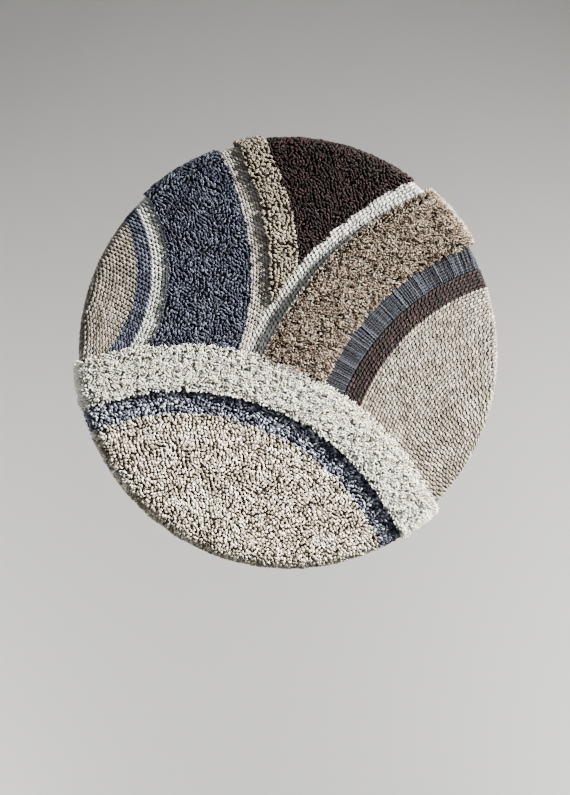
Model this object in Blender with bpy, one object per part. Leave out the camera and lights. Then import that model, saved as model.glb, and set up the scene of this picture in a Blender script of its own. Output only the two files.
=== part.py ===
"""Round punch needle wall piece: a ground cloth drawn over a round board, and its yarn fields.

The piece hangs from the origin, which is its top edge in the plane of the wall. The wall is the
XZ plane, the worked face looks along -Y, and +Z is up. Lengths are in metres.

The meshes are made about the centre of the board's flat back, and hung as they are added. Every
yarn field is drawn on the developed face: flat over the board's front, then unrolled over its
rounded edge and down its side. wrap() rolls a point of that flat drawing onto the board.
"""

import math
from collections import namedtuple

import bmesh
import bpy
from mathutils import Vector, noise
from mathutils.geometry import delaunay_2d_cdt

# The board and the cloth drawn over it
BOARD_RADIUS = 0.240
BOARD_THICKNESS = 0.018
FRONT_ROUND = 0.005
REAR_ROUND = 0.0015
CLOTH_THICKNESS = 0.0012
CLOTH_GAP = 0.0003
HEM_WIDTH = 0.030
RIM_STEPS = 60
FRONT_ROUND_STEPS = 3
REAR_ROUND_STEPS = 2

# The yarn fields
FIELD_GAP = 0.0008
SEAT_GAP = 0.0004
SIDE_WORKED = 0.007
ARC_STEP = 0.016
SHAG_ARC_STEP = 0.011
SHOULDER = 0.004
GRID_STEP = 0.022
SHAG_GRID_STEP = 0.014
EDGE_SHARE = 0.55
LUMP_SIZE = 0.016

# The cut pile is shorter down the board's side. It leans out over lower neighbours and ends in locks.
RIM_TRIM = 0.62
WAIST_SHARE = 0.64
BRIM_SHARE = 0.86
BRIM_REACH = 0.0020
LOCK_LENGTH = 0.0055
LOCK_SPACE = 0.008
LOCK_TIP = 0.38
RIM_LOCK_LENGTH = 0.0035

CLOTH_INSIDE = CLOTH_GAP
CLOTH_OUTSIDE = CLOTH_GAP + CLOTH_THICKNESS
FIELD_BASE = CLOTH_OUTSIDE + SEAT_GAP
FLAT_RADIUS = BOARD_RADIUS - FRONT_ROUND
ROUND_LENGTH = math.pi / 2 * (FRONT_ROUND + CLOTH_OUTSIDE)
WORKED_RADIUS = FLAT_RADIUS + ROUND_LENGTH + SIDE_WORKED
BOARD_PLACE = (0.0, -CLOTH_OUTSIDE, -(BOARD_RADIUS + CLOTH_OUTSIDE))

# The fans, from back to front. Each is a set of rings about a centre outside the board.
Fan = namedtuple("Fan", "name centre_x centre_z")
FANS = (
    Fan("left", -0.320, 0.090),
    Fan("right", 0.300, -0.150),
    Fan("front", -0.130, -0.320),
)

# A row for each ring: its node, fan, inner and outer radius about the fan's centre, the height of
# its yarn, how lumpy its top is, as a share of that height, its stitch and its yarn.
Field = namedtuple("Field", "node fan inner outer pile lumps stitch yarn")
FIELDS = (
    Field("ground_loops_brown", None, 0.0, 9.0, 0.0070, 0.05, "loop", "brown"),
    Field("left_high_loops_oat", "left", 0.294, 0.322, 0.0100, 0.06, "loop", "oat"),
    Field("left_flat_sand", "left", 0.270, 0.294, 0.0028, 0.00, "flat", "sand"),
    Field("left_loops_slate", "left", 0.176, 0.270, 0.0070, 0.05, "loop", "slate"),
    Field("left_flat_cream", "left", 0.157, 0.176, 0.0030, 0.00, "flat", "cream"),
    Field("left_flat_slate", "left", 0.139, 0.157, 0.0028, 0.00, "flat", "slate"),
    Field("left_flat_beige", "left", 0.0, 0.139, 0.0028, 0.00, "flat", "beige"),
    Field("right_flat_cream", "right", 0.364, 0.386, 0.0030, 0.00, "flat", "cream"),
    Field("right_shag_tan", "right", 0.292, 0.364, 0.0160, 0.09, "shag", "tan"),
    Field("right_long_slate", "right", 0.260, 0.292, 0.0024, 0.00, "long", "grey_blue"),
    Field("right_flat_brown", "right", 0.238, 0.260, 0.0028, 0.00, "flat", "brown"),
    Field("right_flat_beige", "right", 0.0, 0.238, 0.0028, 0.00, "flat", "beige"),
    Field("front_shag_white", "front", 0.278, 0.326, 0.0150, 0.09, "shag", "white"),
    Field("front_loops_navy", "front", 0.250, 0.278, 0.0080, 0.06, "loop", "navy"),
    Field("front_loops_oat", "front", 0.0, 0.250, 0.0080, 0.05, "loop", "oat"),
)

# Colour and roughness of each material
FINISHES = {
    "brown": ((0.060, 0.034, 0.033, 1.0), 0.92),
    "oat": ((0.50, 0.45, 0.38, 1.0), 0.92),
    "sand": ((0.42, 0.39, 0.33, 1.0), 0.90),
    "slate": ((0.115, 0.125, 0.165, 1.0), 0.90),
    "cream": ((0.68, 0.69, 0.65, 1.0), 0.90),
    "beige": ((0.47, 0.44, 0.38, 1.0), 0.90),
    "tan": ((0.38, 0.29, 0.21, 1.0), 0.95),
    "grey_blue": ((0.17, 0.19, 0.24, 1.0), 0.85),
    "white": ((0.80, 0.79, 0.71, 1.0), 0.95),
    "navy": ((0.060, 0.070, 0.105, 1.0), 0.90),
    "linen": ((0.47, 0.40, 0.31, 1.0), 0.95),
    "birch": ((0.60, 0.45, 0.28, 1.0), 0.60),
}


def remove_everything():
    for thing in list(bpy.data.objects):
        bpy.data.objects.remove(thing)


def material(name):
    """The named finish as a material, made once."""
    found = bpy.data.materials.get(name)
    if found:
        return found
    colour, roughness = FINISHES[name]
    made = bpy.data.materials.new(name)
    made.use_nodes = True
    shader = made.node_tree.nodes["Principled BSDF"]
    shader.inputs["Base Color"].default_value = colour
    shader.inputs["Roughness"].default_value = roughness
    made.diffuse_color = colour
    return made


def add_object(name, mesh_builder, finish):
    mesh = bpy.data.meshes.new(name)
    mesh_builder.to_mesh(mesh)
    mesh_builder.free()
    mesh.materials.append(material(finish))
    made = bpy.data.objects.new(name, mesh)
    made.location = BOARD_PLACE
    bpy.context.scene.collection.objects.link(made)
    return made


def wrap(x, z, height):
    """The point at this height over the board, for a point of the developed face."""
    rho = math.hypot(x, z)
    if rho <= FLAT_RADIUS:
        return Vector((x, -BOARD_THICKNESS - height, z))
    front = -(BOARD_THICKNESS - FRONT_ROUND)
    if rho <= FLAT_RADIUS + ROUND_LENGTH:
        angle = math.pi / 2 * (rho - FLAT_RADIUS) / ROUND_LENGTH
        radius = FLAT_RADIUS + (FRONT_ROUND + height) * math.sin(angle)
        y = front - (FRONT_ROUND + height) * math.cos(angle)
    else:
        radius = BOARD_RADIUS + height
        y = front + rho - FLAT_RADIUS - ROUND_LENGTH
    return Vector((x / rho * radius, y, z / rho * radius))


def fan_distance(fan, x, z):
    return math.hypot(x - fan.centre_x, z - fan.centre_z)


def outer_radius(fan):
    return max(field.outer for field in FIELDS if field.fan == fan.name)


def ring_radii(fan):
    return sorted((field.outer for field in FIELDS if field.fan == fan.name), reverse=True)


def in_sight(x, z, index):
    """Whether the point is on the worked face and no fan in front of this one covers it."""
    if math.hypot(x, z) > WORKED_RADIUS:
        return False
    return all(fan_distance(fan, x, z) > outer_radius(fan) for fan in FANS[index + 1 :])


def field_at(x, z):
    """The field that shows at a point of the developed face, or None off the worked face."""
    if math.hypot(x, z) > WORKED_RADIUS:
        return None
    for fan in reversed(FANS):
        distance = fan_distance(fan, x, z)
        for field in FIELDS:
            if field.fan == fan.name and field.inner <= distance < field.outer:
                return field
    return FIELDS[0]


def crossings(centre, radius, other_centre, other_radius):
    """The angles on the first circle at which it meets the second."""
    apart = math.dist(centre, other_centre)
    cosine = (apart**2 + radius**2 - other_radius**2) / (2 * apart * radius)
    if abs(cosine) >= 1:
        return []
    towards = math.atan2(other_centre[1] - centre[1], other_centre[0] - centre[0])
    return [(towards + sign * math.acos(cosine)) % math.tau for sign in (-1, 1)]


def arc_angles(radius, step, exact, clearance=0.45):
    """Evenly spaced angles round a circle, with the exact ones in place of those beside them."""
    count = math.ceil(math.tau * radius / step)
    spread = math.tau / count
    even = (i * spread for i in range(count))
    kept = [
        angle
        for angle in even
        if all(abs(math.remainder(angle - given, math.tau)) > clearance * spread for given in exact)
    ]
    return sorted(kept + list(exact))


def drawn_circles():
    """Each fan ring as (fan index, centre, radius, angles), with a corner where it meets another."""
    circles = []
    for index, fan in enumerate(FANS):
        centre = (fan.centre_x, fan.centre_z)
        for radius in ring_radii(fan):
            exact = crossings(centre, radius, (0.0, 0.0), WORKED_RADIUS)
            for front in FANS[index + 1 :]:
                exact += crossings(
                    centre, radius, (front.centre_x, front.centre_z), outer_radius(front)
                )
            if radius == outer_radius(fan):
                for back in FANS[:index]:
                    for back_radius in ring_radii(back):
                        exact += crossings(
                            centre, radius, (back.centre_x, back.centre_z), back_radius
                        )
            beside_shag = any(
                field.stitch == "shag" and radius in (field.inner, field.outer)
                for field in FIELDS
                if field.fan == fan.name
            )
            step = SHAG_ARC_STEP if beside_shag else ARC_STEP
            circles.append((index, centre, radius, arc_angles(radius, step, exact)))
    return circles


def on_circle(centre, radius, angle):
    return (centre[0] + radius * math.cos(angle), centre[1] + radius * math.sin(angle))


def clear_of_circles(x, z, circles, distance):
    """Whether a point keeps this distance to every ring that shows beside it."""
    for index, centre, radius, _ in circles:
        off = abs(math.dist((x, z), centre) - radius)
        if off < distance and in_sight(x, z, index):
            return False
        if off < distance and radius == outer_radius(FANS[index]):
            return False
    return True


class Drawing:
    """Points and edges of the developed face, ready to be triangulated."""

    def __init__(self):
        self.points = []
        self.edges = []

    def point(self, x, z):
        for number, (old_x, old_z) in enumerate(self.points):
            if abs(old_x - x) < 2e-5 and abs(old_z - z) < 2e-5:
                return number
        self.points.append((x, z))
        return len(self.points) - 1

    def edge(self, first, second):
        if first != second:
            self.edges.append((first, second))


def draw_rings(drawing, circles):
    """The board's rim, with the rings at which the face starts to turn over the edge."""
    exact = []
    for index, centre, radius, _ in circles:
        for angle in crossings((0.0, 0.0), WORKED_RADIUS, centre, radius):
            if in_sight(*on_circle((0.0, 0.0), WORKED_RADIUS * 0.9999, angle), index):
                exact.append(angle)
    rim_step = math.tau * WORKED_RADIUS / RIM_STEPS * 1.0001
    rings = [(WORKED_RADIUS, arc_angles(WORKED_RADIUS, rim_step, exact, 0.1))]
    for step in range(FRONT_ROUND_STEPS + 1):
        radius = FLAT_RADIUS + ROUND_LENGTH * step / FRONT_ROUND_STEPS
        rings.append((radius, [math.tau * i / RIM_STEPS for i in range(RIM_STEPS)]))
    for radius, angles in rings:
        numbers = [drawing.point(*on_circle((0.0, 0.0), radius, angle)) for angle in angles]
        for first, second in zip(numbers, numbers[1:] + numbers[:1]):
            drawing.edge(first, second)


def draw_fans(drawing, circles):
    for index, centre, radius, angles in circles:
        for angle, following in zip(angles, angles[1:] + [angles[0] + math.tau]):
            middle = on_circle(centre, radius, (angle + following) / 2)
            if not in_sight(*middle, index):
                continue
            drawing.edge(
                drawing.point(*on_circle(centre, radius, angle)),
                drawing.point(*on_circle(centre, radius, following)),
            )


def draw_shoulders(drawing, circles):
    """Points just inside each field, where its yarn reaches full height."""
    for index, centre, radius, angles in circles:
        for angle, following in zip(angles, angles[1:] + [angles[0] + math.tau]):
            for side in (-1, 1):
                x, z = on_circle(centre, radius + side * SHOULDER, (angle + following) / 2)
                if math.hypot(x, z) > FLAT_RADIUS - SHOULDER / 2 or not in_sight(x, z, index):
                    continue
                if clear_of_circles(x, z, circles, 0.9 * SHOULDER):
                    drawing.point(x, z)


def draw_grid(drawing, circles):
    """Points inside the wide fields, closer together under the cut pile."""
    for stitches, step in ((("shag",), SHAG_GRID_STEP), (("loop", "flat", "long"), GRID_STEP)):
        rows = math.ceil(FLAT_RADIUS / (step * math.sqrt(0.75)))
        columns = math.ceil(FLAT_RADIUS / step)
        for row in range(-rows, rows + 1):
            for column in range(-columns, columns + 1):
                x = (column + 0.5 * (row % 2)) * step
                z = row * step * math.sqrt(0.75)
                field = field_at(x, z)
                if math.hypot(x, z) > FLAT_RADIUS - step / 2 or field.stitch not in stitches:
                    continue
                if clear_of_circles(x, z, circles, SHOULDER + 0.3 * step):
                    drawing.point(x, z)


def triangulate():
    """The whole developed face in triangles: its points, and the triangles of each field."""
    circles = drawn_circles()
    drawing = Drawing()
    draw_rings(drawing, circles)
    draw_fans(drawing, circles)
    draw_shoulders(drawing, circles)
    draw_grid(drawing, circles)
    points = [Vector(point) for point in drawing.points]
    result = delaunay_2d_cdt(points, drawing.edges, [], 0, 1e-7)
    points, faces = result[0], result[2]
    owned = {field.node: [] for field in FIELDS}
    for face in faces:
        middle = sum((points[i] for i in face), Vector((0.0, 0.0))) / len(face)
        field = field_at(middle.x, middle.y)
        if field and middle.length < WORKED_RADIUS * math.cos(math.pi / RIM_STEPS) + 1e-4:
            owned[field.node].append(tuple(face))
    return points, owned


def border_of(faces):
    """The directed border edges of a set of triangles, as {start: end}."""
    edges = {(a, b) for face in faces for a, b in zip(face, face[1:] + face[:1])}
    return {a: b for a, b in edges if (b, a) not in edges}


def outward_directions(points, border):
    """For each border point, the flat direction out of the field and the reach that a gap needs."""
    before = {b: a for a, b in border.items()}
    directions = {}
    for number, after in border.items():
        normals = []
        for a, b in ((before[number], number), (number, after)):
            along = (points[b] - points[a]).normalized()
            normals.append(Vector((along.y, -along.x)))
        mean = normals[0] + normals[1]
        mean.normalize()
        directions[number] = (mean, 1 / max(0.4, mean.dot(normals[0])))
    return directions


def full_pile(field, flat):
    """The height of the field's yarn here. Cut pile is trimmed shorter over the board's edge."""
    turned_over = min(1.0, max(0.0, (flat.length - FLAT_RADIUS) / ROUND_LENGTH))
    return field.pile * (1 - (1 - RIM_TRIM) * turned_over * (field.stitch == "shag"))


def pile_height(field, flat, on_border):
    """How high the field's top stands over its base at a point of the developed face."""
    if on_border:
        share = BRIM_SHARE if field.stitch == "shag" else EDGE_SHARE
        return full_pile(field, flat) * share
    lump = noise.noise(Vector((flat.x / LUMP_SIZE, flat.y / LUMP_SIZE, field.pile * 900)))
    return full_pile(field, flat) * (1 + 2 * field.lumps * lump)


def may_lean_out(field, flat, direction):
    """Whether cut pile has a lower neighbour here, over which it can lean."""
    reach = LOCK_LENGTH + BRIM_REACH + 2 * FIELD_GAP
    sideways = Vector((-direction.y, direction.x)) * LOCK_SPACE
    for side in (-1, 0, 1):
        for share in (0.25, 1.0):
            neighbour = field_at(*(flat + direction * reach * share + sideways * side))
            if neighbour is None:
                return False
            if neighbour is not field and neighbour.pile > (WAIST_SHARE - 0.04) * field.pile:
                return False
    return True


def field_mesh(field, points, faces):
    """The field's closed solid: a base on the cloth, a wall round its border and its crowned top."""
    border = border_of(faces)
    directions = outward_directions(points, border)
    builder = bmesh.new()
    used = sorted({number for face in faces for number in face})
    flat = {}
    for number in used:
        flat[number] = points[number].copy()
        if number in border:
            direction, stretch = directions[number]
            flat[number] -= direction * (FIELD_GAP / 2 * stretch)

    def add(place, height):
        return builder.verts.new(wrap(place.x, place.y, FIELD_BASE + height))

    base = {n: add(flat[n], 0.0) for n in used}
    leaning = {
        n for n in border if field.stitch == "shag" and may_lean_out(field, flat[n], directions[n][0])
    }
    top = {}
    for n in used:
        place = flat[n] + directions[n][0] * BRIM_REACH if n in leaning else flat[n]
        top[n] = add(place, pile_height(field, flat[n], n in border))
    for face in faces:
        builder.faces.new([top[n] for n in face])
        builder.faces.new([base[n] for n in reversed(face)])
    brims = []
    if field.stitch == "shag":
        waist = {n: add(flat[n], full_pile(field, flat[n]) * WAIST_SHARE) for n in border}
        for a, b in border.items():
            builder.faces.new((base[a], base[b], waist[b], waist[a]))
            brim = builder.faces.new((waist[a], waist[b], top[b], top[a]))
            if a in leaning and b in leaning:
                brims.append((brim, flat[a].lerp(flat[b], 0.5), directions[a][0].lerp(directions[b][0], 0.5)))
    else:
        for a, b in border.items():
            builder.faces.new((base[a], base[b], top[b], top[a]))
    bmesh.ops.recalc_face_normals(builder, faces=builder.faces)
    merge_flat_base(builder)
    if brims:
        add_brim_locks(builder, brims)
        add_rim_locks(builder, field)
    return builder


def merge_flat_base(builder):
    """One face in place of the triangles of the base that lie flat on the board's front."""
    level = -BOARD_THICKNESS - FIELD_BASE
    faces = [f for f in builder.faces if all(abs(v.co.y - level) < 1e-6 for v in f.verts)]
    inner = {
        edge
        for face in faces
        for edge in face.edges
        if all(other in faces for other in edge.link_faces)
    }
    bmesh.ops.dissolve_limit(
        builder, angle_limit=math.radians(0.5), use_dissolve_boundaries=False,
        verts=list({v for e in inner for v in e.verts}), edges=list(inner), delimit=set(),
    )


def pull_out(builder, face, direction, length):
    """Draws one face out into a tapered lock with as many sides as the face has."""
    drawn = bmesh.ops.extrude_discrete_faces(builder, faces=[face])["faces"][0]
    middle = drawn.calc_center_median()
    for vertex in drawn.verts:
        vertex.co = middle + (vertex.co - middle) * LOCK_TIP + direction * length


def add_brim_locks(builder, brims):
    """A lock on each brim face, pointing out over the lower neighbour."""
    for number, (face, flat, flat_direction) in enumerate(brims):
        here = wrap(flat.x, flat.y, FIELD_BASE)
        ahead = flat + flat_direction.normalized() * 0.001
        direction = (wrap(ahead.x, ahead.y, FIELD_BASE) - here).normalized()
        length = LOCK_LENGTH * (0.8 + 0.2 * math.sin(2.4 * number))
        pull_out(builder, face, direction, length)


def add_rim_locks(builder, field):
    """Locks that stand out all round where the cut pile turns over the board's edge."""
    top_level = BOARD_RADIUS + FIELD_BASE + 0.7 * RIM_TRIM * field.pile
    chosen = [
        face
        for face in builder.faces
        if len(face.verts) == 3
        and all(math.hypot(v.co.x, v.co.z) > top_level for v in face.verts)
    ]
    for number, face in enumerate(sorted(chosen, key=lambda f: f.calc_center_median().z)):
        middle = face.calc_center_median()
        direction = Vector((middle.x, 0.0, middle.z)).normalized()
        if face.normal.dot(direction) < 0.5:
            continue
        pull_out(builder, face, direction, RIM_LOCK_LENGTH * (0.75 + 0.25 * math.sin(1.9 * number)))


def arc(centre_r, centre_y, radius, start, end, steps):
    """Points (r, y) along an arc of the turned profiles."""
    for i in range(steps + 1):
        angle = start + (end - start) * i / steps
        yield centre_r + radius * math.cos(angle), centre_y + radius * math.sin(angle)


def rim_profile(offset, end_radius):
    """Half the section of the board's surface moved out by offset, from the front centre round the
    edge to end_radius on the back."""
    front_centre = -(BOARD_THICKNESS - FRONT_ROUND)
    profile = [(0.0, -BOARD_THICKNESS - offset)]
    profile += arc(
        FLAT_RADIUS, front_centre, FRONT_ROUND + offset, -math.pi / 2, 0.0, FRONT_ROUND_STEPS
    )
    profile += arc(
        BOARD_RADIUS - REAR_ROUND, -REAR_ROUND, REAR_ROUND + offset, 0.0, math.pi / 2, REAR_ROUND_STEPS
    )
    profile.append((end_radius, offset))
    return profile


def turned(profile):
    """The profile spun about the Y axis, its ends on the axis closed."""
    builder = bmesh.new()
    chain = [builder.verts.new((r, y, 0.0)) for r, y in profile]
    edges = [builder.edges.new(pair) for pair in zip(chain, chain[1:])]
    bmesh.ops.spin(
        builder, geom=chain + edges, cent=(0, 0, 0), axis=(0, 1, 0),
        angle=math.tau, steps=RIM_STEPS, use_merge=True,
    )
    bmesh.ops.remove_doubles(builder, verts=builder.verts, dist=1e-6)
    bmesh.ops.recalc_face_normals(builder, faces=builder.faces)
    return builder


def build_board():
    board = add_object("board", turned(rim_profile(0.0, 0.0)), "birch")
    board.data.shade_smooth()
    board.data.set_sharp_from_angle(angle=math.radians(50))


def build_cloth():
    """The ground cloth: over the front, round the edge, down the side and turned onto the back."""
    hem_radius = BOARD_RADIUS - HEM_WIDTH
    outside = rim_profile(CLOTH_OUTSIDE, hem_radius)
    inside = rim_profile(CLOTH_INSIDE, hem_radius)
    cloth = add_object("ground_cloth", turned(outside + inside[::-1]), "linen")
    cloth.data.shade_smooth()
    cloth.data.set_sharp_from_angle(angle=math.radians(50))


def build_fields():
    points, owned = triangulate()
    for field in FIELDS:
        mesh = field_mesh(field, points, owned[field.node])
        made = add_object(field.node, mesh, field.yarn)
        made.data.shade_smooth()
        made.data.set_sharp_from_angle(angle=math.radians(60))


def main():
    remove_everything()
    build_board()
    build_cloth()
    build_fields()


main()
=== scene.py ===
import math
import bpy
import numpy as np
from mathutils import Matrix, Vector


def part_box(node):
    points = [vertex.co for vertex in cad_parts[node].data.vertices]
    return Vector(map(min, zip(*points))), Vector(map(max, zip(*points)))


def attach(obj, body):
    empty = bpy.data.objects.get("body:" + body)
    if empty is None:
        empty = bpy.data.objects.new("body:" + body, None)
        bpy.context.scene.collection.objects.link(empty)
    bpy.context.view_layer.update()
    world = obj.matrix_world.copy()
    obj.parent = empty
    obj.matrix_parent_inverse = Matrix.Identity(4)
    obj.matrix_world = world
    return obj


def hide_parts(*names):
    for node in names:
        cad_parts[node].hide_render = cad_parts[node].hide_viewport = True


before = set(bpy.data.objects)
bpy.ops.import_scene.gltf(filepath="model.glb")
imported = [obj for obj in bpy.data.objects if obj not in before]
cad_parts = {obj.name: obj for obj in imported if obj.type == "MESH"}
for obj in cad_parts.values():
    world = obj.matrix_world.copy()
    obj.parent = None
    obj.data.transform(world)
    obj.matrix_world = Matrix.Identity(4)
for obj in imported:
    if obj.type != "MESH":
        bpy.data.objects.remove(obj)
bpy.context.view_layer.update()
random = np.random.default_rng(27)


# Camera, as the photo has it: from the left, level, below the middle of the piece

camera = {
    "azimuth": -9.5,          # degrees, from the left
    "distance": 2.0,
    "below": 0.052,            # how far under the middle of the piece the camera stands
    "aside": 0.0092,           # how far left of the middle it is aimed
    "heightSeen": 0.915,       # metres seen in the frame's height, at the piece
}


def placeCamera(middle):
    turn = math.radians(camera["azimuth"])
    right = np.array((math.cos(turn), math.sin(turn), 0.0))
    back = np.array((math.sin(turn), -math.cos(turn), 0.0))
    aim = middle - right * camera["aside"] - np.array((0.0, 0.0, camera["below"]))
    bpy.ops.object.camera_add(location=aim + back * camera["distance"], rotation=(math.pi / 2, 0.0, turn))
    cam = bpy.context.object
    cam.name = "camera"
    cam.data.sensor_width = 36.0
    cam.data.lens = 36.0 * camera["distance"] / camera["heightSeen"]
    bpy.context.scene.camera = cam


# Small helpers

def linearColour(hexText):
    # an sRGB hex colour as linear red, green, blue, alpha
    parts = [int(hexText[i:i + 2], 16) / 255 for i in (1, 3, 5)]
    return [c / 12.92 if c <= 0.04045 else ((c + 0.055) / 1.055) ** 2.4 for c in parts] + [1.0]


def addNode(tree, kind, settings=None, links=None):
    # settings: node properties, or input names and numbers; links: input -> output socket
    node = tree.nodes.new(kind)
    for name, value in (settings or {}).items():
        if isinstance(name, str) and hasattr(node, name):
            setattr(node, name, value)
        else:
            node.inputs[name].default_value = value
    for name, socket in (links or {}).items():
        tree.links.new(socket, node.inputs[name])
    return node


def newMaterial(name):
    material = bpy.data.materials.new(name)
    material.use_nodes = True
    shader = material.node_tree.nodes["Principled BSDF"]
    return material, material.node_tree, shader


def setRamp(node, stops):
    # stops: (position, hex colour), from low to high
    ramp = node.color_ramp
    while len(ramp.elements) < len(stops):
        ramp.elements.new(0.5)
    for element, (position, colour) in zip(ramp.elements, stops):
        element.position = position
        element.color = linearColour(colour)


def deselectAll():
    if bpy.context.object and bpy.context.object.mode != "OBJECT":
        bpy.ops.object.mode_set(mode="OBJECT")
    bpy.ops.object.select_all(action="DESELECT")


def report(text):
    print("stage:", text)


# The board's shape, read from the frame

boardLow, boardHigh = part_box("board")
board = {
    "middle": np.array(((boardLow.x + boardHigh.x) / 2, boardHigh.y, (boardLow.z + boardHigh.z) / 2)),
    "radius": (boardHigh.x - boardLow.x) / 2,
    "thickness": boardHigh.y - boardLow.y,
    "edgeRound": 0.005,
    "clothOutside": 0.0015,    # the cloth's outer face, over the board
    "seat": 0.0019,            # where the yarn starts, over the board
    "sideWorked": 0.007,       # how far the yarn runs down the board's side
}
flatRadius = board["radius"] - board["edgeRound"]
roundLength = math.pi / 2 * (board["edgeRound"] + board["clothOutside"])
workedRadius = flatRadius + roundLength + board["sideWorked"]


def onBoard(flat, height):
    # a place on the flat drawing of the face, rolled onto the board at this height over it
    rho = np.maximum(np.hypot(flat[..., 0], flat[..., 1]), 1e-9)
    turn = np.clip((rho - flatRadius) / roundLength, 0, 1) * math.pi / 2
    beyond = np.maximum(rho - flatRadius - roundLength, 0)
    edge = board["edgeRound"]
    radius = np.where(rho < flatRadius, rho, flatRadius + (edge + height) * np.sin(turn))
    y = -(board["thickness"] - edge) - (edge + height) * np.cos(turn) + beyond
    place = np.stack((flat[..., 0] / rho * radius, y, flat[..., 1] / rho * radius), -1)
    return place + board["middle"]


def boardFrames(flat, along):
    # three unit directions at each flat place: along (an angle on the drawing), across and out
    rho = np.maximum(np.hypot(flat[:, 0], flat[:, 1]), 1e-9)
    turn = np.clip((rho - flatRadius) / roundLength, 0, 1) * math.pi / 2
    outX, outZ = flat[:, 0] / rho, flat[:, 1] / rho
    zero = np.zeros_like(rho)
    radial = np.stack((outX * np.cos(turn), np.sin(turn), outZ * np.cos(turn)), -1)
    around = np.stack((-outZ, zero, outX), -1)
    out = np.stack((outX * np.sin(turn), -np.cos(turn), outZ * np.sin(turn)), -1)

    def direction(angle):
        dx, dz = np.cos(angle), np.sin(angle)
        onRadial = dx * outX + dz * outZ
        onAround = -dx * outZ + dz * outX
        return radial * onRadial[:, None] + around * onAround[:, None]

    return direction(along), direction(along + math.pi / 2), out


# The fans and the fields of yarn in them

fans = {
    "left": (-0.320, 0.090),
    "right": (0.300, -0.150),
    "front": (-0.130, -0.320),
}
fanOrder = ["left", "right", "front"]

yarns = {
    # darkest, middle and lightest tone of each yarn, with its share of light and dark flecks
    "darkBrown": {"tones": ("#070202", "#110605", "#2e1c1b"), "flecks": 0.20, "slot": "yarn_dark_brown"},
    "oatHeather": {"tones": ("#5e5546", "#a59d8d", "#efebdd"), "flecks": 0.60, "slot": "yarn_oat_heather"},
    "sand": {"tones": ("#625f56", "#8f8a80", "#b9b6ab"), "flecks": 0.30, "slot": "yarn_sand"},
    "slateBlue": {"tones": ("#191c28", "#313443", "#5c6372"), "flecks": 0.25, "slot": "yarn_slate"},
    "cream": {"tones": ("#888a85", "#a9aca7", "#d7d9d6"), "flecks": 0.15, "slot": "yarn_cream"},
    "beige": {"tones": ("#544f45", "#746f65", "#a39e93"), "flecks": 0.35, "slot": "yarn_beige"},
    "tan": {"tones": ("#483a2e", "#817161", "#d2c7b8"), "flecks": 0.40, "slot": "yarn_tan"},
    "greyBlue": {"tones": ("#0b0d12", "#181a22", "#3d424c"), "flecks": 0.15, "slot": "yarn_grey_blue"},
    "brown": {"tones": ("#0a0303", "#14090a", "#2b1c1c"), "flecks": 0.30, "slot": "yarn_brown"},
    "offWhite": {"tones": ("#dcd8c4", "#fcfaee", "#fffffa"), "flecks": 0.12, "slot": "yarn_white"},
    "navy": {"tones": ("#181b27", "#4a4f5f", "#c5c9d6"), "flecks": 0.50, "slot": "yarn_navy"},
}

fields = [
    {"node": "ground_loops_brown", "fan": None, "inner": 0.0, "outer": 0.0, "stitch": "loops",
     "pile": 0.0070, "yarn": "darkBrown"},
    {"node": "left_high_loops_oat", "fan": "left", "inner": 0.294, "outer": 0.322, "stitch": "highLoops",
     "pile": 0.0100, "yarn": "oatHeather"},
    {"node": "left_flat_sand", "fan": "left", "inner": 0.270, "outer": 0.294, "stitch": "flat",
     "pile": 0.0028, "yarn": "sand"},
    {"node": "left_loops_slate", "fan": "left", "inner": 0.176, "outer": 0.270, "stitch": "loops",
     "pile": 0.0070, "yarn": "slateBlue"},
    {"node": "left_flat_cream", "fan": "left", "inner": 0.157, "outer": 0.176, "stitch": "flat",
     "pile": 0.0030, "yarn": "cream"},
    {"node": "left_flat_slate", "fan": "left", "inner": 0.139, "outer": 0.157, "stitch": "flat",
     "pile": 0.0028, "yarn": "slateBlue"},
    {"node": "left_flat_beige", "fan": "left", "inner": 0.0, "outer": 0.139, "stitch": "flat",
     "pile": 0.0028, "yarn": "beige"},
    {"node": "right_flat_cream", "fan": "right", "inner": 0.364, "outer": 0.386, "stitch": "flat",
     "pile": 0.0030, "yarn": "cream"},
    {"node": "right_shag_tan", "fan": "right", "inner": 0.292, "outer": 0.364, "stitch": "shag",
     "pile": 0.0160, "yarn": "tan"},
    {"node": "right_long_slate", "fan": "right", "inner": 0.260, "outer": 0.292, "stitch": "long",
     "pile": 0.0024, "yarn": "greyBlue"},
    {"node": "right_flat_brown", "fan": "right", "inner": 0.238, "outer": 0.260, "stitch": "flat",
     "pile": 0.0028, "yarn": "brown"},
    {"node": "right_flat_beige", "fan": "right", "inner": 0.0, "outer": 0.238, "stitch": "flat",
     "pile": 0.0028, "yarn": "beige"},
    {"node": "front_shag_white", "fan": "front", "inner": 0.278, "outer": 0.326, "stitch": "shag",
     "pile": 0.0150, "yarn": "offWhite"},
    {"node": "front_loops_navy", "fan": "front", "inner": 0.250, "outer": 0.278, "stitch": "loops",
     "pile": 0.0080, "yarn": "navy"},
    {"node": "front_loops_oat", "fan": "front", "inner": 0.0, "outer": 0.250, "stitch": "loops",
     "pile": 0.0080, "yarn": "oatHeather"},
]


def fanEdge(name):
    return max(field["outer"] for field in fields if field["fan"] == name)


def fanDistance(name, flat):
    return np.hypot(flat[..., 0] - fans[name][0], flat[..., 1] - fans[name][1])


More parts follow.
